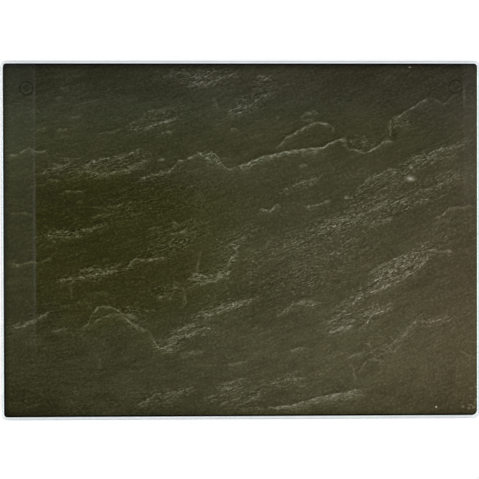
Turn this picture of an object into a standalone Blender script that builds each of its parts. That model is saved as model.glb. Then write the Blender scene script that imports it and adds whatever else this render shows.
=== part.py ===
"""Slate-look slab: a toughened-glass panel, a printed film bonded under it, and four stick-on feet.

Units are metres, with +Z up. The origin is on the table, below the middle of the panel. X runs along
the long side, and -Y is the front edge, nearest the user. From the table up, the slab is a stack:
feet, a round adhesive pad on each foot, the printed film, the adhesive that holds the film, the glass.
"""

import math

import bmesh
import bpy

# Glass panel: one sheet with round corners and a pencil-ground edge
PANEL_LENGTH = 0.400
PANEL_WIDTH = 0.300
PANEL_THICKNESS = 0.004
PANEL_CORNER_RADIUS = 0.005
PANEL_EDGE_FLAT = 0.0004

# Printed film and its adhesive, cut to one outline that stops just short of the ground edge
FILM_CLEARANCE = 0.0004
FILM_THICKNESS = 0.00015
ADHESIVE_THICKNESS = 0.00005

# Feet: truncated domes with a short straight rim, each resting on the small flat of its dome
FOOT_RIM_DIAMETER = 0.0106
FOOT_REST_DIAMETER = 0.0055
FOOT_HEIGHT = 0.0025
FOOT_RIM_HEIGHT = 0.0004

# Feet are stuck on by hand, so each has its own distances in from the panel's nearest two sides
REAR_LEFT_INSET = (0.0214, 0.0229)
REAR_RIGHT_INSET = (0.0199, 0.0216)
FRONT_LEFT_INSET = (0.0224, 0.0186)
FRONT_RIGHT_INSET = (0.0225, 0.0235)

# Adhesive pads between the feet and the film
PAD_MARGIN = 0.0003
PAD_THICKNESS = 0.00025

# Glue line left between two bonded faces
BOND_GAP = 0.00002

# Smoothness of the round shapes
CORNER_STEPS = 8
EDGE_STEPS = 5
DOME_STEPS = 8
TURN_STEPS = 40
SMOOTH_ANGLE = math.radians(35)
RIM_ANGLE = math.radians(60)
WELD_DISTANCE = 1e-7

# The pencil edge: two equal rounds with a narrow flat between them, and the film starts inside them
EDGE_ROUND = (PANEL_THICKNESS - PANEL_EDGE_FLAT) / 2
FILM_INSET = EDGE_ROUND + FILM_CLEARANCE

# Heights of the stack, from the table up
PAD_BOTTOM = FOOT_HEIGHT + BOND_GAP
FILM_BOTTOM = PAD_BOTTOM + PAD_THICKNESS + BOND_GAP
ADHESIVE_BOTTOM = FILM_BOTTOM + FILM_THICKNESS + BOND_GAP
PANEL_BOTTOM = ADHESIVE_BOTTOM + ADHESIVE_THICKNESS + BOND_GAP


def clear_scene():
    for obj in list(bpy.data.objects):
        bpy.data.objects.remove(obj)


def make_material(name, colour, roughness, transmission=0.0):
    material = bpy.data.materials.new(name)
    material.use_nodes = True
    shader = material.node_tree.nodes["Principled BSDF"]
    shader.inputs["Base Color"].default_value = (*colour, 1.0)
    shader.inputs["Roughness"].default_value = roughness
    shader.inputs["Metallic"].default_value = 0.0
    shader.inputs["Transmission Weight"].default_value = transmission
    return material


def finish_mesh(bm, name, material):
    """Turns a bmesh into a mesh with its faces pointing out, smooth on its round stretches."""
    mesh = bpy.data.meshes.new(name)
    bmesh.ops.recalc_face_normals(bm, faces=bm.faces)
    bm.to_mesh(mesh)
    bm.free()
    mesh.shade_smooth()
    mesh.set_sharp_from_angle(angle=SMOOTH_ANGLE)
    mesh.materials.append(material)
    return mesh


def add_object(name, mesh, parent, location):
    obj = bpy.data.objects.new(name, mesh)
    obj.parent = parent
    obj.location = location
    bpy.context.collection.objects.link(obj)
    return obj


def rounded_outline(length, width, radius):
    """Points of a rectangle with round corners, counter-clockwise about the origin."""
    points = []
    for corner, (side_x, side_y) in enumerate([(1, 1), (-1, 1), (-1, -1), (1, -1)]):
        centre_x = side_x * (length / 2 - radius)
        centre_y = side_y * (width / 2 - radius)
        for step in range(CORNER_STEPS + 1):
            angle = (corner + step / CORNER_STEPS) * math.pi / 2
            points.append((centre_x + radius * math.cos(angle), centre_y + radius * math.sin(angle)))
    return points


def plate_mesh(name, outline, thickness, material):
    """A flat sheet of the given outline, from z = 0 up to its thickness."""
    bm = bmesh.new()
    face = bm.faces.new([bm.verts.new((x, y, 0.0)) for x, y in outline])
    raised = bmesh.ops.extrude_face_region(bm, geom=[face])["geom"]
    top = [item for item in raised if isinstance(item, bmesh.types.BMVert)]
    bmesh.ops.translate(bm, verts=top, vec=(0.0, 0.0, thickness))
    return finish_mesh(bm, name, material)


def turned_mesh(name, profile, material):
    """Spins a profile of (radius, height) points, which starts and ends on the Z axis."""
    bm = bmesh.new()
    points = [bm.verts.new((radius, 0.0, height)) for radius, height in profile]
    edges = [bm.edges.new(pair) for pair in zip(points, points[1:])]
    bmesh.ops.spin(
        bm,
        geom=points + edges,
        cent=(0.0, 0.0, 0.0),
        axis=(0.0, 0.0, 1.0),
        angle=2 * math.pi,
        steps=TURN_STEPS,
        use_merge=True,
    )
    bmesh.ops.remove_doubles(bm, verts=bm.verts, dist=WELD_DISTANCE)
    return finish_mesh(bm, name, material)


def add_glass_panel(parent):
    """The sheet of glass, with its sharp rims ground round."""
    glass = make_material("clear_glass", (0.86, 0.93, 0.91), 0.02, transmission=1.0)
    outline = rounded_outline(PANEL_LENGTH, PANEL_WIDTH, PANEL_CORNER_RADIUS)
    mesh = plate_mesh("glass_panel", outline, PANEL_THICKNESS, glass)
    panel = add_object("glass_panel", mesh, parent, (0.0, 0.0, PANEL_BOTTOM))
    edge = panel.modifiers.new("pencil_edge", "BEVEL")
    edge.limit_method = "ANGLE"
    edge.angle_limit = RIM_ANGLE
    edge.width = EDGE_ROUND
    edge.segments = EDGE_STEPS
    edge.harden_normals = True


def add_film_layers(parent):
    """The printed film and, above it, the adhesive that bonds it to the glass."""
    print_ink = make_material("slate_print", (0.051, 0.049, 0.025), 0.55)
    clear_glue = make_material("clear_adhesive", (0.90, 0.90, 0.86), 0.30, transmission=0.8)
    outline = rounded_outline(
        PANEL_LENGTH - 2 * FILM_INSET,
        PANEL_WIDTH - 2 * FILM_INSET,
        PANEL_CORNER_RADIUS - FILM_INSET,
    )
    film = plate_mesh("slate_film", outline, FILM_THICKNESS, print_ink)
    adhesive = plate_mesh("film_adhesive", outline, ADHESIVE_THICKNESS, clear_glue)
    add_object("slate_film", film, parent, (0.0, 0.0, FILM_BOTTOM))
    add_object("film_adhesive", adhesive, parent, (0.0, 0.0, ADHESIVE_BOTTOM))


def foot_profile():
    """A foot's section: flat top, straight rim, elliptical dome, small flat to rest on."""
    rim = FOOT_RIM_DIAMETER / 2
    rest = FOOT_REST_DIAMETER / 2
    dome = FOOT_HEIGHT - FOOT_RIM_HEIGHT
    profile = [(0.0, FOOT_HEIGHT), (rim, FOOT_HEIGHT)]
    for step in range(DOME_STEPS + 1):
        angle = step / DOME_STEPS * math.pi / 2
        profile.append((rest + (rim - rest) * math.cos(angle), dome * (1 - math.sin(angle))))
    return profile + [(0.0, 0.0)]


def pad_profile():
    """A pad's section: a thin disc that stops just short of the foot's rim."""
    radius = FOOT_RIM_DIAMETER / 2 - PAD_MARGIN
    return [(0.0, PAD_THICKNESS), (radius, PAD_THICKNESS), (radius, 0.0), (0.0, 0.0)]


def add_feet(parent):
    """Four feet, one near each corner, each with its adhesive pad above it."""
    clear_rubber = make_material("clear_rubber", (0.72, 0.72, 0.69), 0.35, transmission=0.5)
    foot_glue = make_material("foot_adhesive", (0.80, 0.80, 0.76), 0.40, transmission=0.4)
    foot_mesh = turned_mesh("foot", foot_profile(), clear_rubber)
    pad_mesh = turned_mesh("foot_pad", pad_profile(), foot_glue)
    places = [
        ("rear_left", -1, 1, REAR_LEFT_INSET),
        ("rear_right", 1, 1, REAR_RIGHT_INSET),
        ("front_left", -1, -1, FRONT_LEFT_INSET),
        ("front_right", 1, -1, FRONT_RIGHT_INSET),
    ]
    for corner, side_x, side_y, (inset_x, inset_y) in places:
        x = side_x * (PANEL_LENGTH / 2 - inset_x)
        y = side_y * (PANEL_WIDTH / 2 - inset_y)
        add_object(f"foot_{corner}", foot_mesh, parent, (x, y, 0.0))
        add_object(f"foot_pad_{corner}", pad_mesh, parent, (x, y, PAD_BOTTOM))


def main():
    clear_scene()
    slab = bpy.data.objects.new("slab", None)
    bpy.context.collection.objects.link(slab)
    add_glass_panel(slab)
    add_film_layers(slab)
    add_feet(slab)


main()
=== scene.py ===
import math

import bmesh
import bpy
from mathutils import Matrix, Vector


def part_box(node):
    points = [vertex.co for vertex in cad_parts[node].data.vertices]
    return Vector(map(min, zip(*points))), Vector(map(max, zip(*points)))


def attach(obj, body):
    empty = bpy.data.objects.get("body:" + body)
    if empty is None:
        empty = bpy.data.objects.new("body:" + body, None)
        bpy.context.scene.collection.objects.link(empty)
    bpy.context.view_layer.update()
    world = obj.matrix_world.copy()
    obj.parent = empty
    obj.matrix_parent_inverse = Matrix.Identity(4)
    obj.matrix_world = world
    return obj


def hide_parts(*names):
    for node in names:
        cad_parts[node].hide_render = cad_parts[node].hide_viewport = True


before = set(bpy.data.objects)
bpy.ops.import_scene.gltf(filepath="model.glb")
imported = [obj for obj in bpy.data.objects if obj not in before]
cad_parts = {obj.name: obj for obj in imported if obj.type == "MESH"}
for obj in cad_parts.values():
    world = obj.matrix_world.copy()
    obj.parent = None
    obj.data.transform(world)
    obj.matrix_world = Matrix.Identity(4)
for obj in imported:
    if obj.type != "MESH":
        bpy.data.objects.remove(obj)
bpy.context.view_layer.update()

MM = 0.001
WHITE = (1.0, 1.0, 1.0, 1.0)

# Shape of the glass and the film, beyond what the frame's boxes give
PANEL_CORNER_RADIUS = 0.005
EDGE_FLAT = 0.0004
CORNER_STEPS = 24
EDGE_STEPS = 12
SMOOTH_ANGLE = math.radians(35)
OPTICAL_CONTACT = 0.00002
FILM_SOFT_EDGE = 0.00004
BEAD_WIDTH = 0.0003
BEAD_FOOT = 0.00006
BEAD_CLEARANCE = 0.00001
BEAD_STEPS = 6

# Feet: the flat they rest on, their straight rim and soft edge, and the dish moulded into the rest
FOOT_REST = 0.00275
FOOT_RIM_HEIGHT = 0.0004
FOOT_SOFT_EDGE = 0.00012
FOOT_DISH = 0.00015
SOFT_STEPS = 4
DOME_STEPS = 24
DISH_STEPS = 8
TURN_STEPS = 96

# Optics
GLASS_IOR = 1.52
GLASS_SHADOW = (0.975, 0.98, 0.98, 1.0)
RUBBER_IOR = 1.49
GLUE_IOR = 1.47

# Floor: its glow where it is seen, near and far, and the fade between them in millimetres
FLOOR_RADIUS = 6.0
FLOOR_SEGMENTS = 64
FLOOR_COLOUR = (0.92, 0.92, 0.92, 1.0)
FLOOR_GLOW = 0.15
FLOOR_FAR_GLOW = 0.45
FLOOR_FADE = (700, 3000)

# Room: light of its walls and of its ceiling, which takes over between these heights of the direction
WALL_LIGHT = 0.75
CEILING_LIGHT = 0.03
CEILING_RISE = (0.5, 0.9)

# Softboxes: one at each side, as far out as it is high
SOFTBOX_AWAY = 1.3
SOFTBOX_TILT = 45.0
SOFTBOX_SIZE = (1.2, 1.2)
SOFTBOX_POWER = 16.0

# Two dim lamps high above the slab that the glass mirrors: a strip at the left, a window at the right.
# The strip's fades: two places, and the glow at each
STRIP_PLACE = (-0.4264, 0.02, 2.5)
STRIP_SIZE = (0.0873, 0.76)
STRIP_POWER = 0.032
STRIP_COLOUR = (0.97, 0.99, 0.93)
STRIP_FRONT_FADE = (-0.33, -0.1, 0.15, 1.6)
STRIP_REAR_FADE = (0.06, 0.2, 1, 0.5)
STRIP_RIM = (-0.3885, -0.387, 1, 3)
WINDOW_PLACE = (0.5955, 0.195, 2.5)
WINDOW_SIZE = (0.049, 0.33)
WINDOW_POWER = 0.008

GLASS_LOW, GLASS_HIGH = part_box("glass_panel")
FILM_LOW, FILM_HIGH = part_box("slate_film")
EDGE_ROUND = (GLASS_HIGH[2] - GLASS_LOW[2] - EDGE_FLAT) / 2
FILM_RADIUS = PANEL_CORNER_RADIUS - (FILM_LOW[0] - GLASS_LOW[0])
FILM_ROUND_CORNER = 0.0046

# Corner radii, counter-clockwise from the rear right: the film's front right corner is cut rounder
PANEL_RADII = (PANEL_CORNER_RADIUS,) * 4
FILM_RADII = (FILM_RADIUS, FILM_RADIUS, FILM_RADIUS, FILM_ROUND_CORNER)

# The film is cut by hand: its sides reach a little past the frame's film, or fall short of it
LEFT_PAST = 0.00035
RIGHT_PAST = 0.00038
FRONT_SHORT = 0.0003
REAR_SHORT = 0.0002
PRINT_LOW = (FILM_LOW[0] - LEFT_PAST, FILM_LOW[1] + FRONT_SHORT)
PRINT_HIGH = (FILM_HIGH[0] + RIGHT_PAST, FILM_HIGH[1] - REAR_SHORT)

# A foot's mark on the print: levels by the distance from its middle in millimetres, and its strength
FOOT_RING = [(0, -3), (2.6, -3), (3.4, 0), (4.1, 4), (4.6, 1), (5.4, -14), (6.3, 0), (7.4, 0)]
FOOT_GHOSTS = {"front_left": 0.6, "front_right": 0.4, "rear_left": 1.6, "rear_right": 0.9}

FOOT_CENTRES = {}
for corner in FOOT_GHOSTS:
    foot_low, foot_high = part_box(f"foot_{corner}")
    FOOT_CENTRES[corner] = ((foot_low[0] + foot_high[0]) / 2, (foot_low[1] + foot_high[1]) / 2)

# Camera, set so that the corners of the print fall where the photograph has them: metres, degrees and,
# for its lens and sensor, millimetres
CAMERA_PLACE = (-0.0441, 0.0247, 1.5036)
CAMERA_TURN = (-0.918, -1.636, -0.106)
CAMERA_LENS = 134.73
CAMERA_SENSOR = 36.0

# The print's tone in screen levels, from front to rear: at the left side, and its rise to the right, a
# painted reflection
TONE_LEFT = [
    (-144, 46), (-97, 56), (-65, 52), (-32, 47), (0, 45), (34, 43), (48, 47), (64, 54), (97, 56),
    (118, 52), (140, 44),
]
PAINTED_REFLECTION_RISE = [
    (-144, 14), (-97, 19), (-65, 21), (-32, 21), (0, 22), (34, 19), (65, 8), (97, 1), (140, 3),
]

# Where the painted reflection's rise starts along x, and where it ends: two rows, and the x at each
REFLECTION_RISE_START = -140
REFLECTION_RISE_END = (-55, 10, 130, 65)

# A darker front left, by its fades along x and y, and a paler ellipse at the rear
DARK_LEFT = (-120, -185)
DARK_FRONT = (-25, -55)
PALE_REAR = (15, 120, 70, 50)

# Screen colours of the slate, by tone
SLATE_COLOURS = [
    (0, (0, 0, 2)), (25, (25, 25, 16)), (40, (40, 40, 22)), (50, (50, 50, 30)), (62, (62, 62, 41)),
    (80, (80, 80, 57)), (95, (94, 95, 73)), (115, (113, 115, 96)), (150, (148, 150, 134)),
    (255, (255, 255, 250)),
]

# Share of red in the slate's colour in linear light, from left to right, and its change to the rear
RED_TINT = [
    (-180, 1.0), (-146, 1.03), (-100, 1.025), (0, 1.045), (80, 1.075), (150, 1.115), (185, 1.165),
]
RED_CHANGE = [
    (-145, 0.037), (-97, 0.028), (-65, 0.026), (-32, 0.03), (0, 0.008), (33, -0.01), (65, -0.022),
    (97, -0.05), (130, -0.012), (145, 0.005),
]

# The left middle is yellower: its fades along x, at the rear, at the front and by tone
YELLOW_LEFT = (60, -90)
YELLOW_REAR = (72, 30)
YELLOW_FRONT = (-115, -25)
YELLOW_TONES = (95, 55, 0.35, 1)

# The rear is bluer: two rows, and the share of blue at each. So is the right, growing along x and y
BLUE_REAR = (80, 145, 1, 1.36)
BLUE_RIGHT = (120, 190)
BLUE_RISE = (-150, 90)

# Rim of the print, painted shade where the glass's rim shades the film's edge: where its black starts
# to give way and where it ends, in millimetres from the side. The right side is only a little darker
# than the slate, and the rim enters it round the corner
SIDE_RIM = (0.7, 1.7)
FRONT_RIM = (0.8, 1.7)
RIGHT_RIM = (0.2, 1.4, 0.8, 1)
CORNER_RIM = (0.6, 1.6)
CORNER_ENTRY = (0.5, 2.5, 1, 0)

# Painted shade inside the rim, darker towards the film's edge: two distances from the side, and the
# levels at each.
# The wide one grows towards the front corners, between two distances from the middle
REAR_SHADE = (7, 0.5, 0, 16)
LEFT_SHADE = (6, 0.5, 0, 13)
FRONT_SHADE = (3, 0.5, 0, 4)
WIDE_SHADE = (45, 0, 0, 6)
WIDE_SHADE_SPAN = (110, 190)

# Spots of the print: middle, half length and half width in millimetres, and levels, below 0 to darken
TONE_SPOTS = [
    (163.9, -140.5, 1, 1, 120),
    (141.3, 51.6, 2.8, 1.7, 40),
    (143.2, 50.7, 2.8, 1.6, 34),
    (142.3, 51.2, 7, 3.8, 30),
    (189, 65, 25, 62, 5),
    (-182, 132, 36, 30, -4),
    (-81, 73, 42, 34, -3),
    (54, -66, 15, 7, -5),
    (9, -68, 11, 6, -4),
    (10.2, -54, 1.8, 24, -5),
    (128, 88, 4.5, 6, -8),
    (-97, -122, 20, 13, 5),
    (-16, -20, 36, 170, 2.5),
    (45, -139.8, 18, 4, 14),
    (70, -135, 19, 5, 10),
    (94, -131, 15, 5, 6),
    (186.2, -140.4, 1.7, 1.4, 36),
    (191.5, -141.6, 2, 1.2, 38),
    (192.6, -138.9, 2.4, 1.2, 30),
    (195.4, -140.8, 1.8, 2, 36),
    (196.6, -137.4, 1.5, 1.6, 34),
    (197.6, -134.4, 1.3, 1.6, 60),
    (197.6, -123.6, 1.2, 1.4, 40),
    (181, -129.5, 4.5, 3, 7),
    (141.6, 144.6, 1.6, 0.7, 90),
    (187.3, 121.5, 1.5, 12, 16),
    (-6.9, -53.5, 1.1, 0.9, 60),
    (10.1, -17.8, 1.3, 0.9, 40),
    (-155.4, -1.1, 0.8, 0.8, 45),
    (-20.2, 0.6, 0.8, 0.8, 45),
    (-153.8, 50, 1.5, 0.9, 22),
]

# Ridges of the slate: brightness in levels, and points (x, y) in millimetres along the line
CLEAN_RIDGES = dict(
    long_ridge=(58, [
        (-4, 61.5), (6, 63.5), (10, 67), (21, 70), (49, 75), (68, 77.5), (81, 84), (90, 86)]),
    long_ridge_under=(22, [(49, 72.5), (55, 72.5), (62, 73.5), (71, 78)]),
    trough_left=(30, [(89, 76.5), (97, 75.5), (102, 73.5), (106, 73)]),
    trough=(42, [
        (104, 73.5), (106, 73), (108, 74), (111, 76.5), (121, 82.5), (124, 83.5), (128, 83)]),
    trough_top=(26, [(119, 84), (124, 86)]),
    eye=(40, [
        (28, 74), (31, 78.5), (35, 81), (38, 86), (60, 97), (65, 98.5), (74, 97), (76.5, 95.5)]),
    oval=(22, [(48.5, 101.5), (50, 103.5), (54, 106), (62, 108), (65, 106), (66.5, 103.5)]),
    oval_under=(15, [(50, 100.5), (62, 101)]),
    rear_right=(34, [(126, 101.5), (133, 103.5), (138, 107.5), (147, 113), (156.5, 118), (160, 119)]),
    rear_right_tail=(18, [(158, 119), (163, 118.5), (171, 113.5), (178, 120.5), (184, 123.5)]),
    rear_right_loop=(18, [(128, 98), (133, 99), (138, 98)]),
    rear_right_under=(22, [(126, 94.5), (132, 95), (142, 97.5)]),
    centre_flake=(44, [(14, 25.5), (18, 25.5), (22, 24.5), (26, 25), (27, 27.5), (34, 31)]),
    right_thin=(28, [(160, 17), (169, 20.5), (174, 25.5), (178, 27.5), (184, 27), (197, 29)]),
    small_straight=(26, [(88, -99.5), (102, -94)]),
    small_steep=(24, [(97.5, -112), (106, -100.5)]),
    bottom_band=(38, [
        (25, -141.5), (38.5, -139.5), (74, -130), (89.5, -128), (96, -126.5), (103.5, -126)]),
    low_right_band=(36, [(71, -81), (73.5, -78), (77, -76.5), (86.5, -73.5), (95, -72)]),
    fork=(18, [(106, -100.5), (111, -99.5), (116, -101), (121, -101.5)]),
    low_centre_dash=(34, [(41, -93), (54, -89)]),
    upper_dash=(40, [(48.5, 62), (51.5, 63), (55.5, 62.5)]),
    rear_ring=(14, [
        (118.5, 127), (119.5, 132), (122, 135.5), (125.5, 137.8), (128.5, 137), (131, 134)]),
    rear_left_dash=(16, [(-9, 93), (-1.5, 93.5)]),
    short_low=(22, [(-53, -95.5), (-30, -92.5)]),
    check=(24, [(-12, -103), (-9, -104.5), (-4, -103), (1, -102.5), (6.5, -100.5)]),
    left_arch=(36, [
        (-99, -27), (-95, -22.5), (-92, -18.5), (-88, -15.3), (-82, -16), (-73, -15.5), (-66, -14.5),
        (-60, -13.8)]),
    left_arch_dash=(22, [(-116, -16), (-113, -15.5), (-110, -16)]),
    low_left_dash=(26, [(-81, -58), (-72, -57.5)]),
    left_edge_upper=(28, [
        (-196.5, 70), (-187, 72), (-180, 75.5), (-176, 76.5), (-169, 74), (-158.5, 76.5)]),
    dome=(32, [
        (-135, -74), (-128, -70), (-126, -63), (-122.5, -58.5), (-119.5, -56), (-116, -55),
        (-111, -55), (-106.5, -56.5), (-99.5, -60.5), (-95.5, -62), (-91.5, -62.5), (-85, -66)]),
    dome_inner=(27, [
        (-127.5, -72.5), (-121, -66.5), (-116.5, -64), (-107, -62), (-102.5, -62), (-96, -65.5),
        (-86, -72.5), (-76, -75.5)]),
    left_low_under=(18, [(-131, -45.5), (-116.5, -42), (-113.5, -44), (-109, -44)]),
    left_flat=(18, [(-158, -75), (-144, -74)]),
    left_faint=(16, [(-151.5, -55), (-147, -54), (-142, -54)]),
    left_faint_right=(14, [(-140, -52), (-124, -51)]),
    right_low_line=(14, [(183, -92.5), (192, -97.5), (198, -97)]),
    short_left=(28, [(-148, 40.5), (-142, 41.5), (-133, 41), (-128, 43.5)]),
    left_speck_dash=(22, [(-138, 32.5), (-132, 33)]),
    left_upper_dash=(18, [(-179, 45), (-161.5, 47)]),
    left_upper_knot=(20, [(-163, 50), (-155, 50.5), (-151.5, 49.5)]),
    left_upper_rise=(14, [(-147, 50), (-133.5, 53.5)]),
    left_edge_dash=(16, [(-191, 31), (-185, 30.5), (-181, 33)]),
    left_edge_bow=(18, [(-193, 22), (-185, 23), (-177, 22.5), (-171, 19.5)]),
    rear_left_high=(16, [(-156, 117.5), (-152, 119.5), (-148, 119.5)]),
    rear_left_rise=(18, [(-144, 102), (-138, 103), (-132, 105.5)]),
    rear_left_edge=(18, [(-171, 92), (-167, 93), (-162, 93)]),
    rear_left_next=(18, [(-155, 91), (-151, 92.5), (-144.5, 93)]),
    rear_left_long=(14, [(-141, 113), (-116, 117.5)]),
    rear_left_top=(16, [(-151, 127), (-143, 128)]),
    rear_left_low=(16, [(-122, 86.5), (-116.5, 89), (-104, 91.5), (-99.5, 93.5)]),
    left_step_top=(16, [(-127, 27.5), (-113, 28)]),
    left_step_end=(20, [(-107, 28), (-99.5, 29)]),
    left_step=(22, [(-127.5, 19), (-120, 21), (-110, 22), (-102.5, 24)]),
    left_step_right=(14, [(-92, 22.5), (-82, 23.5)]),
    left_middle_dash=(24, [(-79, 9.5), (-74.5, 10), (-65, 12.5)]),
    left_middle_short=(22, [(-58, 15), (-52, 14.5)]),
    left_rear_dash=(30, [(-70.5, 67.5), (-67, 68.5), (-63, 68)]),
)
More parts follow.
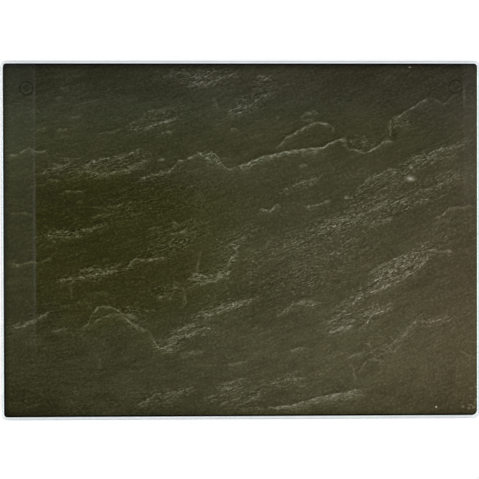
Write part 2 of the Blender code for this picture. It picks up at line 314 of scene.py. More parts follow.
TORN_RIDGES = dict(
    long_ridge_left=(38, [
        (-86, 50.5), (-76, 54), (-70, 55), (-65, 57), (-58, 58.5), (-55, 64), (-51, 66), (-46.5, 67),
        (-36, 72.5), (-31, 71.5), (-22, 71.5), (-19.5, 69.5), (-15.5, 62.5), (-13, 59.5),
        (-9.5, 58.5), (-3, 61)]),
    long_ridge_feather=(24, [(-2, 59.5), (6, 61), (16, 66), (31, 69.5)]),
    long_ridge_inner=(26, [(-31, 68.5), (-21.5, 68), (-16, 61)]),
    right_shelf=(24, [
        (138, 63), (140, 66), (147, 70), (152, 71.5), (157, 71.5), (161, 74), (166, 75.5), (180, 78),
        (191, 81)]),
    right_shelf_inner=(22, [(142.5, 65.5), (158, 68), (166, 68), (183, 69.5)]),
    speck_shelf=(32, [
        (95, 38), (97.5, 43.5), (102, 46.5), (105, 50), (108, 52), (122, 57.5), (127, 58.5),
        (132, 58)]),
    speck_foot=(32, [(86, 35.5), (94.5, 36)]),
    right_shelf_low=(17, [
        (127, 29.5), (131.5, 32), (136, 33), (150, 40.5), (163, 45), (175, 51.5), (181, 54),
        (187.5, 55.5)]),
    right_shelf_under=(22, [(144, 29.5), (152, 33.5), (159.5, 33), (166, 35), (172, 38)]),
    right_rough=(24, [
        (63, 9.5), (69.5, 11.5), (75.5, 15), (81, 15.5), (93, 20.5), (99, 21), (125.5, 30.5)]),
    right_rough_top=(18, [(85, 23.5), (96, 25), (105, 29.5), (114.5, 30.5), (125.5, 33)]),
    right_lumps=(26, [(105, 15), (110, 14), (114.5, 16.5), (120.5, 15.5), (127, 18.5)]),
    right_steps=(32, [(51, 27.5), (57, 27.5), (65, 31), (77, 33.5)]),
    mid_upper=(26, [(34.5, 41), (47.5, 47), (65.5, 53)]),
    diagonal_top=(28, [
        (103.5, -31), (108.5, -27), (114.5, -23.5), (128.5, -16), (134.5, -14), (150, -11.5),
        (162.5, -8), (170.5, -10), (180.5, -9.5)]),
    diagonal_low=(34, [
        (103.5, -44.5), (110, -43.5), (117.5, -41), (134.5, -34), (139.5, -29.5), (145.5, -27),
        (149.5, -24), (161, -10)]),
    diagonal_bright=(30, [(133, -33.5), (137, -29.5), (148, -21.5), (156.5, -14), (160, -10)]),
    diagonal_inner=(26, [(108.5, -37.5), (112, -34), (121, -28), (147, -18.5)]),
    diagonal_inner_low=(24, [(109, -41), (116, -36.5), (136.5, -28)]),
    diagonal_inner_top=(24, [(114.5, -27), (136.5, -18), (152, -14.5)]),
    diagonal_tail=(28, [(69.5, -70), (74, -69), (79, -65.5), (103.5, -45)]),
    diagonal_tail_top=(20, [(74, -61.5), (86.5, -52), (102, -43.5)]),
    low_right_end=(34, [
        (96, -75.5), (100, -74), (103, -71.5), (112, -62), (116, -60.5), (120.5, -60), (128.5, -55)]),
    low_right_loops=(28, [(82.5, -68.5), (86.5, -67), (89.5, -68.5), (94.5, -67.5), (98, -68.5)]),
    low_right_top=(22, [(96, -63), (119, -56), (131.5, -50)]),
    hook=(26, [
        (127, -98), (130, -92.5), (131.5, -86.5), (141.5, -74), (144, -69), (149, -68.5),
        (159.5, -69), (166, -67.5), (172, -64.5), (175, -67)]),
    hook_left=(22, [(119, -92), (125.5, -88.5), (131, -84), (142.5, -71)]),
    hook_dash=(20, [(105, -88), (109, -86.5)]),
    loops=(26, [
        (28.5, -65), (37.5, -59), (41.5, -55), (46, -53), (58.5, -51), (63, -51), (67, -53.5),
        (69.5, -57.5)]),
    loops_inner=(28, [(51.5, -56), (65, -53)]),
    loops_left=(20, [(8, -78.5), (12, -72.5), (18, -70)]),
    bottom_band_low=(24, [(71, -134), (77, -131.5), (83.5, -131), (89.5, -131.5), (103.5, -129.5)]),
    bottom_fold=(26, [
        (20.5, -122), (23.5, -120.5), (41.5, -116.5), (44.5, -117), (52.5, -115), (56, -116)]),
    bottom_edge=(26, [(-1, -142), (33, -140)]),
    bottom_fold_left=(28, [(4, -137), (13.5, -129.5), (16.5, -126)]),
    bottom_mid_top=(22, [(-20, -121.5), (0, -116.5), (6, -116)]),
    bottom_mid=(28, [(-19.5, -125.5), (-9.5, -124), (0, -120.5)]),
    bottom_mid_left=(24, [(-32.5, -132.5), (-21.5, -130)]),
    bottom_mid_low=(24, [(-18.5, -137), (-6, -134), (0, -131)]),
    bottom_left_fold=(32, [
        (-90, -138.5), (-80.5, -135.5), (-71.5, -129), (-51.5, -127), (-45, -124.5), (-39, -123.5)]),
    low_middle=(34, [(-65, -83.5), (-56, -81), (-45, -79.5), (-31, -74), (-17, -73.5)]),
    low_middle_top=(22, [(-55, -77), (-51.5, -74.5), (-47.5, -73), (-43.5, -72.5)]),
    low_middle_inner=(24, [(-63.5, -88.5), (-53, -83.5)]),
    low_middle_under=(28, [(-74, -83.5), (-70, -89.5), (-60.5, -91.5), (-56, -90.5)]),
    centre_low=(38, [
        (-35.5, -60.5), (-32, -60.5), (-28, -63), (-14, -58.5), (-9.5, -56), (-4.5, -54.5), (1, -51),
        (6, -50), (16, -46.5)]),
    centre_low_top=(24, [(-28, -59), (-21.5, -57.5), (-14, -54.5), (0, -50.5)]),
    pit_ridge=(36, [
        (-45, -35), (-42.5, -31), (-39, -28), (-35, -28.5), (-31, -30.5), (-21.5, -29), (-14, -25),
        (-11.5, -21.5), (-8, -14), (0, -10)]),
    pit_low=(30, [
        (-43.5, -33.5), (-39, -32.5), (-29.5, -34), (-20, -31), (-15.5, -28), (-11.5, -26.5)]),
    pit_top=(26, [(-11, -4), (6, 4)]),
    pit_left=(26, [(-70.5, -46.5), (-63, -46.5), (-59, -45.5)]),
    pit_left_top=(22, [(-62, -40.5), (-58, -40.5), (-53.5, -39.5), (-47, -41), (-39.5, -38.5)]),
    pit_arc=(18, [(-57.5, -32), (-52, -35.5)]),
    left_low=(38, [(-155, -34), (-149, -33.5), (-143, -31.5), (-136.5, -31), (-101, -24.5)]),
    left_low_top=(28, [(-138.5, -28), (-133.5, -25), (-126, -24), (-119.5, -24.5), (-101, -21)]),
    left_mid=(28, [
        (-158.5, 7), (-154, 8), (-135, 7), (-130.5, 9.5), (-126, 10), (-119.5, 12.5), (-109, 14)]),
    left_mid_low=(30, [(-166, 3), (-160, 4), (-154, 3), (-141.5, 3.5), (-135, 4.5)]),
    left_middle=(26, [(-62, 3), (-56, 5.5), (-49.5, 6.5), (-45, 8.5), (-40.5, 9.5)]),
    left_rear_band=(35, [
        (-168.5, 56), (-165.5, 56), (-160, 61), (-155.5, 61), (-146, 63), (-138, 68)]),
    left_rear_long=(28, [
        (-135, 64), (-129, 63), (-119.5, 66.5), (-101, 71), (-93, 72), (-81.5, 76.5)]),
    left_rear_low=(25, [
        (-130.5, 61), (-127.5, 58.5), (-122.5, 56), (-116.5, 54.5), (-112, 54.5), (-91.5, 60),
        (-82.5, 65.5), (-77.5, 67), (-74.5, 66.5)]),
    left_edge_mid=(28, [
        (-196, -20), (-190, -19), (-185, -20.5), (-175, -18), (-170, -19), (-161, -16),
        (-156, -15.5)]),
    left_hook=(34, [
        (-192, -71), (-189, -72.5), (-184, -72.5), (-178.5, -69), (-171, -66.5), (-162.5, -60.5),
        (-159.5, -60)]),
    left_hook_top=(20, [(-190, -70.5), (-185, -70.5), (-179.5, -68.5), (-169, -63.5), (-164, -60)]),
    rear_fold=(24, [(-33, 129.5), (-20, 133.5), (0, 142)]),
    rear_rough=(16, [(-45, 138), (-29.5, 135), (-21.5, 135), (-15.5, 136.5)]),
    rear_rough_low=(26, [(-45, 130), (-39, 132), (-35.5, 129.5), (-28, 130)]),
    rear_rough_top=(16, [(-62, 138), (-56, 140.5), (-49.5, 139.5), (-42, 140)]),
    rear_middle=(28, [(-13, 106.5), (-9.5, 109), (-1.5, 111.5), (1.5, 114)]),
    rear_middle_right=(25, [(9, 114), (16.5, 119.5), (30, 124.5)]),
    rear_middle_low=(25, [(-3.5, 106), (1, 110.5), (11, 114.5)]),
    rear_top_fold=(20, [(12, 136), (19.5, 137), (26, 137)]),
    left_rear_top=(30, [(-82.5, 92), (-76, 96), (-70, 98), (-57.5, 100), (-50.5, 103.5)]),
    left_rear_mid=(18, [(-98, 95), (-85.5, 100), (-67, 103)]),
    left_rear_steep=(20, [(-84, 104.5), (-76, 107.5), (-62, 110.5)]),
    left_rear_under=(28, [(-71.5, 88), (-62, 90.5), (-56, 91)]),
)

# Ridges that run more up than across, from front to rear
STEEP_RIDGES = dict(
    crack_upper=(22, [(-39, -28), (-36.5, -25.5), (-34, -9)]),
    crack_lower=(20, [(-49.5, -57.5), (-47.5, -55), (-46.5, -52), (-46.5, -47.5), (-47.5, -43)]),
    eye_end=(22, [(77.5, 90), (78, 93), (76.5, 95.5)]),
    rear_right_side=(26, [(125.8, 86), (125, 98), (126, 101.5)]),
    dome_tail=(18, [(-69.5, -91), (-77, -75.5)]),
    trough_side=(20, [(90, 76), (88, 80), (87.5, 84)]),
    fork_side=(16, [(96, -120.5), (94.5, -108), (92, -103.5)]),
    left_short=(18, [(-118, -107.5), (-117.5, -102), (-118, -98)]),
    dome_under=(12, [(-131, -83.5), (-133, -78)]),
    left_low_side=(16, [(-141.5, -47.5), (-141.5, -37)]),
    rear_arc=(16, [(-19, 109), (-20, 116), (-23, 120)]),
    right_end=(14, [(179, -76), (180, -71), (175, -66.5)]),
)

# Rough zones of the slate: middle, half length and half width in millimetres, rise, and roughness
ROUGH_ZONES = dict(
    right_shelf=(164, 71, 30, 8, 0.33, 1),
    speck_shelf=(118, 45, 32, 12, 0.5, 0.9),
    right_shelf_low=(152, 39, 38, 11, 0.42, 1),
    right_rough=(96, 20, 40, 9, 0.36, 0.8),
    right_lumps=(116, 16, 16, 5, 0.2, 0.8),
    right_middle=(65, 8, 32, 11, 0.4, 0.5),
    right_edge=(177, 8, 26, 13, 0.1, 0.35),
    centre_right=(43, -19, 65, 30, 0.4, 0.5),
    centre_right_end=(80, -19, 42, 24, 0.4, 0.35),
    diagonal=(132, -25, 36, 11, 0.62, 1.5),
    diagonal_tail=(88, -56, 24, 8, 0.75, 0.8),
    low_right=(98, -67, 30, 9, 0.45, 1),
    hook=(133, -83, 22, 9, 0.9, 0.55),
    hook_top=(161, -68, 22, 5, 0.1, 0.6),
    hook_left=(105, -90, 24, 9, 0.3, 0.4),
    bottom_band=(66, -133, 44, 8, 0.2, 0.4),
    mid_upper=(50, 46.5, 20, 5, 0.38, 0.8),
    bottom_fold=(43, -117, 30, 6, 0.1, 0.7),
    bottom_fold_left=(7, -133, 15, 8, 0.6, 0.7),
    loops=(48, -57, 24, 7, 0.3, 0.45),
    pit=(-28, -31, 22, 7, 0.15, 1),
    pit_right=(-10, -17, 9, 11, 1.2, 0.8),
    pit_left=(-60, -43, 18, 7, 0.1, 0.7),
    pit_top=(-4, 0, 22, 9, 0.5, 0.7),
    left_low=(-117, -26, 38, 6, 0.2, 1),
    left_middle=(-66, -8, 24, 9, 0.2, 0.7),
    left_middle_top=(-50, 6, 28, 10, 0.2, 0.7),
    centre_low=(-17, -57, 28, 6, 0.3, 1),
    low_middle=(-45, -78, 28, 7, 0.22, 1),
    low_middle_under=(-62, -90, 14, 6, 0.1, 0.8),
    bottom_left=(-63, -130, 26, 7, 0.2, 0.8),
    bottom_mid=(-12, -125, 22, 10, 0.3, 0.7),
    left_hook=(-175, -67, 20, 4, 0.4, 0.6),
    dome=(-92, -63, 15, 8, -0.2, 0.6),
    left_rear=(-107, 63, 37, 10, 0.2, 1.1),
    left_rear_band=(-152, 62, 20, 6, 0.35, 0.7),
    long_ridge_left=(-68, 55, 22, 4, 0.3, 0.7),
    long_ridge_top=(-25, 68, 14, 6, -0.1, 0.9),
    rear_left=(-71, 100, 30, 9, 0.35, 0.8),
    left_steps=(-113, 20, 30, 10, 0.2, 0.4),
    left_mid=(-146, 6, 28, 5, 0.1, 0.9),
    left_upper=(-68, 36, 55, 15, 0.1, 0.3),
    rear_edge=(-32, 137, 36, 8, 0, 0.9),
    rear_middle=(8, 115, 25, 8, 0.5, 0.8),
    rear_top=(20, 132, 12, 6, 0.2, 0.9),
    trough=(97, 82, 16, 7, -0.1, 1.1),
    rear_right=(133, 98, 12, 6, 0.2, 0.9),
    oval=(58, 103, 10, 5, 0.2, 0.4),
)

# Light across a ridge, by the distance behind its line in millimetres: its lit edge and its streaks
CLEAN_EDGE = [
    (-9, 0), (-2.6, 0.1), (-1.2, 0.5), (0, 1), (0.8, 0.3), (1.6, -0.18), (3.5, -0.08), (6, 0),
]
CLEAN_STREAKS = [(-9, 0), (-3.5, 0.3), (-1, 0.6), (1, 0.4), (2.5, 0.15), (6, 0)]
TORN_EDGE = [(-12, 0), (-2, 0.1), (-0.9, 0.5), (0, 1), (0.8, 0.3), (1.6, -0.15), (4, -0.05), (8, 0)]
TORN_STREAKS = [(-12, 0), (-5, 0.2), (-1.5, 0.65), (1, 0.65), (3, 0.2), (8, 0)]

# Ridges that follow each other with at least this gap, in millimetres, share one curve
TRACK_GAP = 4

# A ridge fades out at its ends over this share of its length, up to a longest stretch in millimetres
RIDGE_FADE_SHARE = 0.14
RIDGE_FADE = 5

# Streaks along a ridge: length and width in millimetres, and the level of noise that they stop at
STREAK_SIZE = (5.0, 1.4)
STREAK_LIMIT = 0.11

# Rough zones fade out a little past their half length and half width
ZONE_REACH = (1.15, 1.3)

# Grain of the slate: its rise to the right, and how much that grows per millimetre
GRAIN_RISE = 0.35
GRAIN_STEEPENING = 0.000375

# It runs flatter along the front, between these two rows, and steeper in the diagonal fold
FRONT_ROWS = (-98, -124)
FRONT_PIVOT = 60.0
DIAGONAL_FOLD = (132.0, -27, 62, 38)
TURN_OF_GRAIN = 0.18

# Tracks and zones are laid one over the other: each is dragged a little by the ones below it
DRAG = 0.004


def srgb(red, green, blue):
    """A colour given in screen levels from 0 to 255, as the linear values that shaders take."""
    levels = [value / 255 for value in (red, green, blue)]
    linear = [v / 12.92 if v <= 0.04045 else ((v + 0.055) / 1.055) ** 2.4 for v in levels]
    return (*linear, 1.0)


class Field:
    """A number that varies over a surface. Arithmetic on it adds Math nodes to its material."""

    def __init__(self, tree, socket):
        self.tree = tree
        self.socket = socket

    def math(self, operation, *others, clamp=False):
        made = self.tree.nodes.new("ShaderNodeMath")
        made.operation = operation
        made.use_clamp = clamp
        for slot, value in zip(made.inputs, (self, *others)):
            feed(slot, value)
        return Field(self.tree, made.outputs[0])

    def __add__(self, other):
        return self.math("ADD", other)

    def __sub__(self, other):
        return self.math("SUBTRACT", other)

    def __mul__(self, other):
        return self.math("MULTIPLY", other)

    def __rsub__(self, other):
        return self.scaled(-1, other)

    def __abs__(self):
        return self.math("ABSOLUTE")

    def scaled(self, factor, shift):
        return self.math("MULTIPLY_ADD", factor, shift)

    def positive(self):
        return self.math("MAXIMUM", 0.0)

    def clamped(self):
        return self.math("ADD", 0.0, clamp=True)


def feed(slot, value):
    """Links a field, a socket or a constant to a node's input."""
    if isinstance(value, Field):
        value = value.socket
    if isinstance(value, bpy.types.NodeSocket):
        slot.id_data.links.new(value, slot)
    else:
        slot.default_value = value


def feed_inputs(made, **inputs):
    """Feeds a node's inputs by name, the spaces in their names written as underscores."""
    for name, value in inputs.items():
        feed(made.inputs[name.replace("_", " ")], value)


def node(tree, kind, **inputs):
    """A new node of the given kind, with its inputs fed."""
    made = tree.nodes.new("ShaderNode" + kind)
    feed_inputs(made, **inputs)
    return made


def ramp(field, low, high, to_low=0.0, to_high=1.0):
    """A smooth step from to_low, where the field is low, to to_high, where it is high."""
    made = node(field.tree, "MapRange", Value=field)
    made.interpolation_type = "SMOOTHSTEP"
    made.clamp = False
    for slot, value in zip(made.inputs[1:5], (low, high, to_low, to_high)):
        feed(slot, value)
    return Field(field.tree, made.outputs[0])


def noise(x, y, length_x, length_y, seed, detail=4.0, roughness=0.55):
    """Soft random values about 0, most of them within 0.25, with features of the given lengths."""
    place = node(x.tree, "CombineXYZ", X=x.scaled(1 / length_x, seed), Y=y.scaled(1 / length_y, -seed))
    made = node(x.tree, "TexNoise", Vector=place.outputs[0], Scale=1.0)
    feed_inputs(made, Detail=detail, Roughness=roughness)
    made.noise_dimensions = "2D"
    return Field(x.tree, made.outputs[0]) - 0.5


def curve(field, points, handles="AUTO"):
    """A curve through (input, value) points, smooth or straight between them, flat beyond its ends."""
    first = points[0][0]
    length = points[-1][0] - first
    low = min(value for _, value in points)
    height = max(value for _, value in points) - low
    made = node(field.tree, "FloatCurve", Value=field.scaled(1 / length, -first / length))
    line = made.mapping.curves[0]
    while len(line.points) < len(points):
        line.points.new(0.5, 0.5)
    for index, (place, value) in enumerate(points):
        line.points[index].location = ((place - first) / length, (value - low) / height)
        line.points[index].handle_type = handles
    made.mapping.extend = "HORIZONTAL"
    made.mapping.update()
    return Field(field.tree, made.outputs[0]).scaled(height, low)


def new_material(name):
    material = bpy.data.materials.new(name)
    material.use_nodes = True
    tree = material.node_tree
    return material, tree, tree.nodes["Principled BSDF"]


def let_through(shader, rays, colour):
    """Lets some rays pass straight through a material, tinted by a colour."""
    tree = shader.id_data
    mix = node(tree, "MixShader", Fac=rays)
    feed(mix.inputs[1], shader.outputs[0])
    feed(mix.inputs[2], node(tree, "BsdfTransparent", Color=colour).outputs[0])
    feed(tree.nodes["Material Output"].inputs["Surface"], mix.outputs[0])


def place_fields(tree):
    """The x and y of a surface point, in millimetres from the middle of the panel."""
    place = node(tree, "TexCoord").outputs["Object"]
    parts = node(tree, "SeparateXYZ", Vector=place).outputs
    return Field(tree, parts[0]) * (1 / MM), Field(tree, parts[1]) * (1 / MM)


def distance(x, y):
    """Distance from the place where both coordinates are 0."""
    return (x * x + y * y).math("SQRT")


def along_grain(x, y):
    """Coordinates along and across the grain, which rises to the right and steepens that way."""
    along = x + y * GRAIN_RISE
    across = y - x * (x * GRAIN_STEEPENING + GRAIN_RISE)
    return along, across


def blob(x, y, middle_x, middle_y, half_x, half_y):
    """1 in the middle of an ellipse, and 0 beyond it."""
    across = x.scaled(1 / half_x, -middle_x / half_x)
    up = y.scaled(1 / half_y, -middle_y / half_y)
    return ramp(up * up + across * across, 1, 0.1)


def follow_folds(x, y):
    """Shifts y so that the grain runs flatter along the front and steeper in the diagonal fold."""
    flat = ramp(y, *FRONT_ROWS, 0, TURN_OF_GRAIN)
    steep = blob(x, y, *DIAGONAL_FOLD) * -TURN_OF_GRAIN
    y = (x - FRONT_PIVOT).scaled(flat, y)
    return (x - DIAGONAL_FOLD[0]).scaled(steep, y)


def emboss(height, x, y, step):
    """Shading of a relief lit from the rear: positive where it falls away to the rear."""
    return height(x, y) - height(x, y + step)


def layer_height(x, y):
    """Thin cleaved layers: a slow relief cut into terraces with sharp edges."""
    along, across = along_grain(x, y)
    relief = noise(along, across, 60, 13, 23, detail=5, roughness=0.62) * 14
    part = relief.math("FRACT")
    return relief - part + ramp(part, 0.78, 1)


def ridge_tracks(ridges):
    """Groups of ridges that follow each other from left to right without an overlap."""
    tracks = []
    for strength, points in sorted(ridges.values(), key=lambda ridge: ridge[1][0][0]):
        for track in tracks:
            if track[-1][1][-1][0] + TRACK_GAP < points[0][0]:
                track.append((strength, points))
                break
        else:
            tracks.append([(strength, points)])
    return tracks


def ridge_curves(track):
    """The line of a track of ridges, and its brightness, which fades at the ends of each ridge."""
    line = []
    presence = []
    for strength, points in track:
        first = points[0][0]
        last = points[-1][0]
        fade = min((last - first) * RIDGE_FADE_SHARE, RIDGE_FADE)
        presence += [(first, 0), (first + fade, strength), (last - fade, strength), (last, 0)]
        line += points
    return line, presence


def ridge_light(x, y, ridges, edge, streaks, least, seed):
    """Brightness of a group of ridges in levels, broken by streaks that run along them."""
    light = x * 0.0
    slant = x + y * 0.8
    for index, track in enumerate(ridge_tracks(ridges)):
        line, presence = ridge_curves(track)
        place = light.scaled(DRAG, x)
        behind = y - curve(place, line, "VECTOR")
        grit = noise(slant, behind, *STREAK_SIZE, seed + index, detail=3, roughness=0.7)
        grit = grit.math("MINIMUM", STREAK_LIMIT)
        share = grit.scaled(5.5, 0.7).math("MAXIMUM", least)
        lit = curve(behind, edge, "AUTO_CLAMPED") * share
        sparks = grit.positive() * curve(behind, streaks, "AUTO_CLAMPED")
        light = sparks.scaled(5, lit).scaled(curve(place, presence, "VECTOR"), light)
    return light


def slate_roughness(x, y):
    """How rough the slate is: little where it split cleanly, and about 1 where its layers are torn."""
    along, across = along_grain(x, y)
    patches = noise(along, across, 26, 9, 5, detail=4, roughness=0.6)
    rough = patches.scaled(0.2, 0.15)
    for middle_x, middle_y, half_x, half_y, rise, strength in ROUGH_ZONES.values():
        level = rough.scaled(DRAG, x * -rise + y)
        reach_x = half_x * ZONE_REACH[0]
        reach_y = half_y * ZONE_REACH[1]
        zone = blob(x, level, middle_x, middle_y - rise * middle_x, reach_x, reach_y)
        rough = zone.scaled(strength, rough)
    return (rough * patches.scaled(2.4, 0.9)).math("MAXIMUM", 0.05)


def creases(x, y):
    """Relief of a torn face: thin creases along the grain, with finer ones between them."""
    along, across = along_grain(x, y)
    relief = noise(along, across, 10, 2.6, 53, detail=2.5, roughness=0.6)
    return abs(relief) * -1.0


def base_tone(x, y):
    """Slow changes of tone over the slab, in screen levels: paler to the right by a painted
    reflection, darker in patches.
    """
    # Painted reflection: the tone rises to the right, as if the glass mirrored a brighter room on that
    # side
    side = ramp(x, REFLECTION_RISE_START, ramp(y, *REFLECTION_RISE_END))
    tone = curve(y, PAINTED_REFLECTION_RISE).scaled(side, curve(y, TONE_LEFT))
    tone = (ramp(x, *DARK_LEFT) * ramp(y, *DARK_FRONT)).scaled(-4, tone)
    tone = blob(x, y, *PALE_REAR).scaled(3, tone)
    return noise(x, y, 45, 30, 3, detail=3).scaled(12, tone)


def add_ridges(x, y, sway, jitter, tone):
    """Lays the three groups of ridges over a tone, each with lines that waver in its own measure."""
    clean_y = jitter.scaled(2.6, sway.scaled(2.6, y))
    tone = tone + ridge_light(x, clean_y, CLEAN_RIDGES, CLEAN_EDGE, CLEAN_STREAKS, least=0.5, seed=71)
    torn_y = jitter.scaled(4.6, sway.scaled(3, y))
    tone = tone + ridge_light(x, torn_y, TORN_RIDGES, TORN_EDGE, TORN_STREAKS, least=0.15, seed=91)

    # Steep ridges are lines along y, so the coordinates of their points change places
    steep = {}
    for name, (strength, points) in STEEP_RIDGES.items():
        steep[name] = (strength, [(point_y, point_x) for point_x, point_y in points])
    steep_x = jitter.scaled(2.6, sway.scaled(2, x))
    return tone + ridge_light(y, steep_x, steep, CLEAN_EDGE, CLEAN_STREAKS, least=0.5, seed=131)


def add_texture(x, y, sway, jitter, tone):
    """Lays the fine texture over a tone: stronger where the slate is rough."""
    rough = slate_roughness(x, sway.scaled(7, y))
    warped = sway.scaled(6, follow_folds(x, y))

    # Fine flecked grain, which fades to the rear
    grain_x = jitter.scaled(2, x * 0.8 + y * 0.6)
    grain = noise(grain_x, y * 0.8 - x * 0.6, 2.3, 2, 7, detail=2, roughness=0.7)
    flecked = (grain - 0.1).positive().scaled(2, grain)
    tone = flecked.scaled(rough.scaled(16, ramp(y, 30, 90, 28, 20)), tone)

    # Lit and shaded sides of the creases
    slope = emboss(creases, x, jitter.scaled(2, warped), step=0.6)
    tone = slope.scaled(rough.scaled(42, 2), tone)

    # Slow swells, which are stronger at the front, with lumps between them
    along, across = along_grain(x, warped)
    swell = noise(along, across, 26, 8, 41, detail=2)
    tone = swell.scaled(ramp(y, -20, -90, 2, 16), tone)
    tone = noise(along, across, 9, 4, 47, detail=1).scaled(9, tone)

    # Thin pale lines
    lines = noise(x, across, 26, 1.7, 43, detail=2)
    tone = (lines - 0.05).positive().scaled(38, tone)

    # Bright flecks on the lit sides and along streaks, broken up by the grain
    streak = noise(along, across, 8, 1.8, 59, detail=2.5, roughness=0.6)
    lit = (slope - 0.02).positive() * 1.7 + (streak - 0.04).positive()
    broken = grain.scaled(3.5, 1).positive()
    flecks = (lit * broken).math("MINIMUM", 0.2)
    tone = flecks.scaled(rough.scaled(130, 10), tone)

    # Edges of thin layers
    layers = emboss(layer_height, x, y, step=0.8)
    return layers.scaled(rough.scaled(6, 2), tone)


def slate_tone(x, y):
    """The slate's tone, in screen levels."""
    tone = base_tone(x, y)
    sway = noise(x, y, 16, 9, 31, detail=2)
    jitter = noise(x, y, 5.5, 2.6, 37, detail=4, roughness=0.72)
    tone = add_ridges(x, y, sway, jitter, tone)
    return add_texture(x, y, sway, jitter, tone)


def foot_ghosts(x, y, tone):
    """Faint rings over the feet, stronger at the rear."""
    for corner, (foot_x, foot_y) in FOOT_CENTRES.items():
        across = x - foot_x / MM
        up = y - foot_y / MM
        tone = curve(distance(across, up), FOOT_RING).scaled(FOOT_GHOSTS[corner], tone)
    return tone


def border(x, y, tone):
    """Painted shade: a near-black rim on three sides of the print and its round corner, with dark
    fades inside it.
    """
    from_left = x - PRINT_LOW[0] / MM
    from_right = PRINT_HIGH[0] / MM - x
    from_front = y - PRINT_LOW[1] / MM
    from_rear = PRINT_HIGH[1] / MM - y
    # Painted shade: dark fades inside the rim, and a wide one towards the front corners
    tone = tone - ramp(from_rear, *REAR_SHADE) - ramp(from_left, *LEFT_SHADE)
    tone = tone - ramp(from_front, *FRONT_SHADE)
    tone = tone - ramp(from_front, *WIDE_SHADE) * ramp(abs(x), *WIDE_SHADE_SPAN)
    # Painted shade: the near-black rim along the film's edge
    tone = tone * ramp(from_left, *SIDE_RIM) * ramp(from_rear, *SIDE_RIM)
    tone = tone * ramp(from_front, *FRONT_RIM) * ramp(from_right, *RIGHT_RIM)
    corner = FILM_ROUND_CORNER / MM
    past_x = (corner - from_right).positive()
    past_y = (corner - from_front).positive()
    from_corner = corner - distance(past_x, past_y)
    return tone * ramp(from_corner, *CORNER_RIM, ramp(past_y, *CORNER_ENTRY), 1)


def print_material():
    """Matt ink on film: a slate pattern, with painted shade along its border."""
    material, tree, shader = new_material("slate_print")
    x, y = place_fields(tree)
    tone = slate_tone(x, y)
    for middle_x, middle_y, half_x, half_y, levels in TONE_SPOTS:
        tone = blob(x, y, middle_x, middle_y, half_x, half_y).scaled(levels, tone)
    tone = border(x, y, foot_ghosts(x, y, tone))
    colours = node(tree, "ValToRGB", Fac=tone * (1 / 255))
    line = colours.color_ramp
    while len(line.elements) < len(SLATE_COLOURS):
        line.elements.new(0.5)
    for element, (level, colour) in zip(line.elements, SLATE_COLOURS):
        element.position = level / 255
        element.color = srgb(*colour)
    blotch = noise(x, y, 18, 12, 61, detail=2)
    red_tint = blotch.scaled(0.10, curve(x, RED_TINT) + curve(y, RED_CHANGE))
    drift = noise(x, y, 60, 40, 67, detail=3).scaled(70, y)
    yellow = ramp(x, *YELLOW_LEFT) * ramp(drift, *YELLOW_REAR) * ramp(drift, *YELLOW_FRONT)
    yellow = yellow * ramp(tone, *YELLOW_TONES)
    blue_tint = yellow.scaled(-0.34, ramp(y, *BLUE_REAR))
    blue_tint = (ramp(x, *BLUE_RIGHT) * ramp(y, *BLUE_RISE)).scaled(0.15, blue_tint)
    parts = node(tree, "SeparateColor", Color=colours.outputs[0]).outputs
    red = Field(tree, parts[0]) * red_tint
    blue = Field(tree, parts[2]) * blue_tint
    joined = node(tree, "CombineColor", Red=red, Green=parts[1], Blue=blue)
    feed_inputs(shader, Base_Color=joined.outputs[0], Roughness=0.55, Specular_IOR_Level=0.0)
    return material


def glass_material():
    """Clear glass: polished faces with faint wipe marks, and a satin ground edge. Light passes it."""
    material, tree, shader = new_material("clear_glass")
    x, y = place_fields(tree)
    facing = node(tree, "SeparateXYZ", Vector=node(tree, "TexCoord").outputs["Normal"]).outputs[2]
    ground = ramp(abs(Field(tree, facing)), 0.999, 0.9)
    wiped = noise(x + y * 0.4, y - x * 0.4, 70, 5, 83, detail=3)
    polish = ramp(wiped, 0, 0.3, 0.015, 0.04)
    grind = noise(x, y, 0.5, 0.5, 89, detail=2).scaled(0.1, 0.16)
    roughness = grind.scaled(ground, polish)
    colour = blend_colours(ground, (248, 251, 252), (226, 234, 241))
    feed_inputs(shader, Base_Color=colour, Roughness=roughness, Transmission_Weight=1.0, IOR=GLASS_IOR)
    let_through(shader, node(tree, "LightPath").outputs["Is Shadow Ray"], GLASS_SHADOW)
    return material


def blend_colours(factor, low, high):
    """A colour between two screen colours, by a field from 0 to 1."""
    made = node(factor.tree, "Mix")
    made.data_type = "RGBA"
    feed(made.inputs[0], factor)
    feed(made.inputs[6], srgb(*low))
    feed(made.inputs[7], srgb(*high))
    return made.outputs[2]


def add_bump(shader, height, strength, depth):
    """Fine relief of the surface, by a field of heights."""
    bump = node(height.tree, "Bump", Height=height, Strength=strength, Distance=depth)
    feed(shader.inputs["Normal"], bump.outputs[0])


def backing_material():
    """The film's back: pale grey vinyl with a fine pebble grain, a little soiled."""
    material, tree, shader = new_material("film_backing")
    x, y = place_fields(tree)
    soil = noise(x, y, 40, 30, 101, detail=5, roughness=0.65)
    pebble = noise(x, y, 0.9, 0.9, 103, detail=2)
    shade = pebble.scaled(0.5, soil.scaled(1.2, 0.5)).clamped()
    colour = blend_colours(shade, (186, 187, 186), (216, 216, 213))
    feed_inputs(shader, Base_Color=colour, Roughness=ramp(soil, -0.2, 0.2, 0.48, 0.62))
    add_bump(shader, pebble, 0.4, 0.0001)
    return material


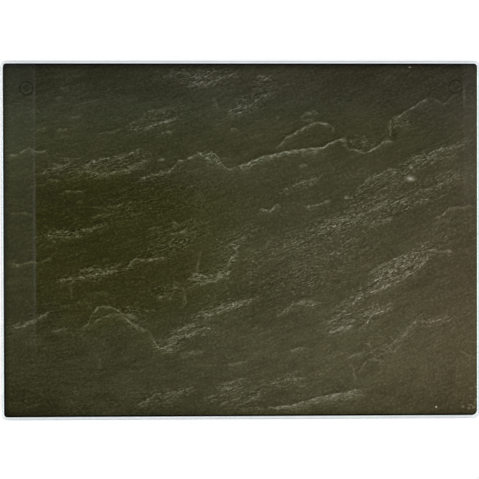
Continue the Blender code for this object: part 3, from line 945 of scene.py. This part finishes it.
def rubber_material():
    """A foot's clear rubber: slightly yellowed and cloudy, with a satin moulded skin and dust."""
    material, tree, shader = new_material("clear_rubber")
    x, y = place_fields(tree)
    cloud = noise(x, y, 3, 3, 107, detail=3)
    dust = ramp(noise(x, y, 0.35, 0.35, 109, detail=2), 0.12, 0.25)
    shade = dust.scaled(-0.5, cloud.scaled(1.5, 0.7)).clamped()
    colour = blend_colours(shade, (196, 192, 178), (226, 225, 218))
    feed_inputs(shader, Base_Color=colour, Roughness=dust.scaled(0.3, cloud.scaled(0.2, 0.3)))
    feed_inputs(shader, Transmission_Weight=0.7, IOR=RUBBER_IOR)
    add_bump(shader, noise(x, y, 0.25, 0.25, 113, detail=1), 0.15, 0.00005)
    return material


def glue_material(name, low, high, seed):
    """Clear glue, a little milky, with streaks and tiny trapped bubbles."""
    material, tree, shader = new_material(name)
    x, y = place_fields(tree)
    streak = noise(x, y, 4, 2, seed, detail=3)
    bubbles = ramp(noise(x, y, 0.3, 0.3, seed + 1, detail=0), 0.2, 0.3)
    shade = bubbles.scaled(0.4, streak.scaled(1.6, 0.5)).clamped()
    colour = blend_colours(shade, low, high)
    roughness = streak.scaled(0.3, 0.35)
    feed_inputs(shader, Base_Color=colour, Roughness=roughness, Transmission_Weight=0.6, IOR=GLUE_IOR)
    add_bump(shader, bubbles, 0.2, 0.00005)
    return material


def rounded_ring(bm, low, high, radii, inset, height):
    """Vertices of a rectangle with round corners, set in from its outline, counter-clockwise."""
    ring = []
    corners = [
        (high[0], high[1], 1, 1),
        (low[0], high[1], -1, 1),
        (low[0], low[1], -1, -1),
        (high[0], low[1], 1, -1),
    ]
    for quarter, (corner_x, corner_y, side_x, side_y) in enumerate(corners):
        radius = radii[quarter]
        for step in range(CORNER_STEPS + 1):
            angle = (quarter + step / CORNER_STEPS) * math.pi / 2
            x = corner_x - side_x * radius + (radius - inset) * math.cos(angle)
            y = corner_y - side_y * radius + (radius - inset) * math.sin(angle)
            ring.append(bm.verts.new((x, y, height)))
    return ring


def bridge(bm, lower, upper):
    for index, corner in enumerate(lower):
        after = (index + 1) % len(lower)
        bm.faces.new((corner, lower[after], upper[after], upper[index]))


def add_rings(bm, low, high, radii, sections):
    """Rings of vertices, one for each (inset, height), joined by faces from the first to the last."""
    rings = []
    for inset, height in sections:
        rings.append(rounded_ring(bm, low, high, radii, inset, height))
    for lower, upper in zip(rings, rings[1:]):
        bridge(bm, lower, upper)
    return rings


def add_object(name, data):
    made = bpy.data.objects.new(name, data)
    bpy.context.collection.objects.link(made)
    return made


def add_piece(bm, name, slot, *materials):
    """A finished piece of the slab, shaded smooth on its round stretches."""
    mesh = bpy.data.meshes.new(name)
    bmesh.ops.recalc_face_normals(bm, faces=bm.faces)
    bm.to_mesh(mesh)
    bm.free()
    mesh.shade_smooth()
    mesh.set_sharp_from_angle(angle=SMOOTH_ANGLE)
    for material in materials:
        mesh.materials.append(material)
    piece = add_object(name, mesh)
    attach(piece, "root")
    return piece


def add_glass():
    """The glass sheet, its rim ground to two quarter rounds with a narrow flat between them."""
    profile = [(EDGE_ROUND + EDGE_FLAT, 0.0)]
    for step in range(EDGE_STEPS + 1):
        angle = step / EDGE_STEPS * math.pi / 2
        profile.append((EDGE_ROUND * (1 - math.sin(angle)), EDGE_ROUND * (1 - math.cos(angle))))
    sections = [(inset, GLASS_LOW[2] + rise) for inset, rise in profile]
    sections += [(inset, GLASS_HIGH[2] - rise) for inset, rise in reversed(profile)]
    bm = bmesh.new()
    rings = add_rings(bm, GLASS_LOW, GLASS_HIGH, PANEL_RADII, sections)
    bm.faces.new(list(reversed(rings[0])))
    bm.faces.new(rings[-1])
    piece = add_piece(bm, "glass_sheet", "glass", glass_material())
    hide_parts("glass_panel")


def add_film():
    """The printed film, its face in optical contact with the glass and its vinyl back below."""
    bm = bmesh.new()
    top = GLASS_LOW[2] + OPTICAL_CONTACT
    sections = [(FILM_SOFT_EDGE, FILM_LOW[2]), (0.0, FILM_LOW[2] + FILM_SOFT_EDGE), (0.0, top)]
    rings = add_rings(bm, PRINT_LOW, PRINT_HIGH, FILM_RADII, sections)
    bm.faces.new(list(reversed(rings[0])))
    for face in bm.faces:
        face.material_index = 1
    bm.faces.new(rings[-1])
    piece = add_piece(bm, "print_film", "slate_print", print_material(), backing_material())
    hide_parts("slate_film")


def add_adhesive():
    """The bead of clear adhesive squeezed out around the film: a fillet from its edge to the glass."""
    bm = bmesh.new()
    base = FILM_LOW[2] + FILM_SOFT_EDGE
    rise = GLASS_LOW[2] - base
    sections = [(-BEAD_CLEARANCE, GLASS_LOW[2]), (-BEAD_CLEARANCE, base)]
    for step in range(BEAD_STEPS + 1):
        angle = step / BEAD_STEPS * math.pi / 2
        reach = BEAD_FOOT + (BEAD_WIDTH - BEAD_FOOT) * (1 - math.cos(angle))
        sections.append((-reach, base + rise * math.sin(angle)))
    rings = add_rings(bm, PRINT_LOW, PRINT_HIGH, FILM_RADII, sections)
    bridge(bm, rings[-1], rings[0])
    material = glue_material("film_adhesive", (206, 208, 204), (232, 233, 230), seed=127)
    piece = add_piece(bm, "adhesive_bead", "adhesive", material)
    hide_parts("film_adhesive")


def foot_profile(low, high):
    """A foot's section as (radius, height): flat top, soft rim, elliptical dome, dished rest."""
    rim = (high[0] - low[0]) / 2
    height = high[2] - low[2]
    dome = height - FOOT_RIM_HEIGHT
    profile = [(rim - FOOT_SOFT_EDGE, height)]
    for step in range(1, SOFT_STEPS + 1):
        angle = step / SOFT_STEPS * math.pi / 2
        out = rim - FOOT_SOFT_EDGE * (1 - math.sin(angle))
        profile.append((out, height - FOOT_SOFT_EDGE * (1 - math.cos(angle))))
    for step in range(DOME_STEPS + 1):
        angle = step / DOME_STEPS * math.pi / 2
        profile.append((FOOT_REST + (rim - FOOT_REST) * math.cos(angle), dome * (1 - math.sin(angle))))
    for step in range(1, DISH_STEPS):
        share = step / DISH_STEPS
        dip = FOOT_DISH * math.sin(share * math.pi / 2) ** 2
        profile.append((FOOT_REST * (1 - share), dip))
    return profile


def turn(bm, profile, centre, base):
    """A closed turned shape, from the top of its profile to the bottom."""
    rings = []
    for radius, height in profile:
        ring = []
        for step in range(TURN_STEPS):
            angle = step / TURN_STEPS * 2 * math.pi
            x = centre[0] + radius * math.cos(angle)
            y = centre[1] + radius * math.sin(angle)
            ring.append(bm.verts.new((x, y, base + height)))
        rings.append(ring)
    for upper, lower in zip(rings, rings[1:]):
        bridge(bm, lower, upper)
    bm.faces.new(rings[0])
    bm.faces.new(rings[-1])


def add_feet():
    """Four clear domed feet, and the finish of the pads that hold them."""
    rubber = rubber_material()
    pad = glue_material("foot_adhesive", (196, 196, 190), (222, 222, 217), seed=131)
    for corner, centre in FOOT_CENTRES.items():
        low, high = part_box(f"foot_{corner}")
        bm = bmesh.new()
        turn(bm, foot_profile(low, high), centre, low[2])
        piece = add_piece(bm, f"bumper_{corner}", "foot_rubber", rubber)
        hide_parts(f"foot_{corner}")
        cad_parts[f"foot_pad_{corner}"].material_slots[0].material = pad


def add_floor():
    """A pale floor, a little brighter where it is seen: it reads as white and keeps its shadow."""
    material, tree, shader = new_material("pale_floor")
    feed_inputs(shader, Base_Color=FLOOR_COLOUR, Roughness=1.0, Specular_IOR_Level=0.0)
    rays = node(tree, "LightPath").outputs
    seen = Field(tree, rays["Is Camera Ray"]) + Field(tree, rays["Is Glossy Ray"])
    seen = seen.math("ADD", Field(tree, rays["Is Transmission Ray"]), clamp=True)
    glow = ramp(distance(*place_fields(tree)), *FLOOR_FADE, FLOOR_GLOW, FLOOR_FAR_GLOW)
    feed_inputs(shader, Emission_Color=WHITE, Emission_Strength=seen * glow)
    let_through(shader, node(tree, "NewGeometry").outputs["Backfacing"], WHITE)
    bm = bmesh.new()
    bmesh.ops.create_circle(bm, cap_ends=True, segments=FLOOR_SEGMENTS, radius=FLOOR_RADIUS)
    mesh = bpy.data.meshes.new("floor")
    bm.to_mesh(mesh)
    bm.free()
    mesh.materials.append(material)
    floor = add_object("floor", mesh)
    floor.visible_diffuse = False


def add_world():
    """A pale room with a dark ceiling, so that the glass face mirrors little light."""
    world = bpy.data.worlds.new("studio")
    bpy.context.scene.world = world
    world.use_nodes = True
    tree = world.node_tree
    direction = node(tree, "SeparateXYZ", Vector=node(tree, "TexCoord").outputs["Generated"])
    strength = ramp(Field(tree, direction.outputs[2]), *CEILING_RISE, WALL_LIGHT, CEILING_LIGHT)
    feed_inputs(tree.nodes["Background"], Color=WHITE, Strength=strength)


def add_light(name, place, turn_y, size, power):
    """A flat rectangular lamp that shines down, tilted about the Y axis."""
    data = bpy.data.lights.new(name, "AREA")
    data.shape = "RECTANGLE"
    data.size, data.size_y = size
    data.energy = power
    light = add_object(name, data)
    light.location = place
    light.rotation_euler = (0.0, math.radians(turn_y), 0.0)
    return light


def add_strip_light():
    """The strip that the glass mirrors: dimmer at its ends, and brightest along its right rim."""
    light = add_light("mirrored_strip", STRIP_PLACE, 0.0, STRIP_SIZE, STRIP_POWER)
    light.data.color = STRIP_COLOUR
    light.data.use_nodes = True
    tree = light.data.node_tree
    place = node(tree, "SeparateXYZ", Vector=node(tree, "NewGeometry").outputs["Position"]).outputs
    lamp_y = Field(tree, place[1])
    glow = ramp(lamp_y, *STRIP_FRONT_FADE) * ramp(lamp_y, *STRIP_REAR_FADE)
    rim = ramp(Field(tree, place[0]), *STRIP_RIM)
    feed(tree.nodes["Emission"].inputs["Strength"], glow * rim)


def add_camera():
    data = bpy.data.cameras.new("camera")
    data.sensor_width = CAMERA_SENSOR
    data.lens = CAMERA_LENS
    camera = add_object("camera", data)
    camera.location = CAMERA_PLACE
    camera.rotation_euler = [math.radians(angle) for angle in CAMERA_TURN]
    bpy.context.scene.camera = camera


add_glass()
add_film()
add_adhesive()
add_feet()
add_floor()
add_world()
for name, side in [("left_softbox", -1), ("right_softbox", 1)]:
    softbox_place = (side * SOFTBOX_AWAY, 0.0, SOFTBOX_AWAY)
    add_light(name, softbox_place, side * SOFTBOX_TILT, SOFTBOX_SIZE, SOFTBOX_POWER)
add_strip_light()
add_light("mirrored_window", WINDOW_PLACE, 0.0, WINDOW_SIZE, WINDOW_POWER)
add_camera()
bpy.context.scene.view_settings.view_transform = "Standard"
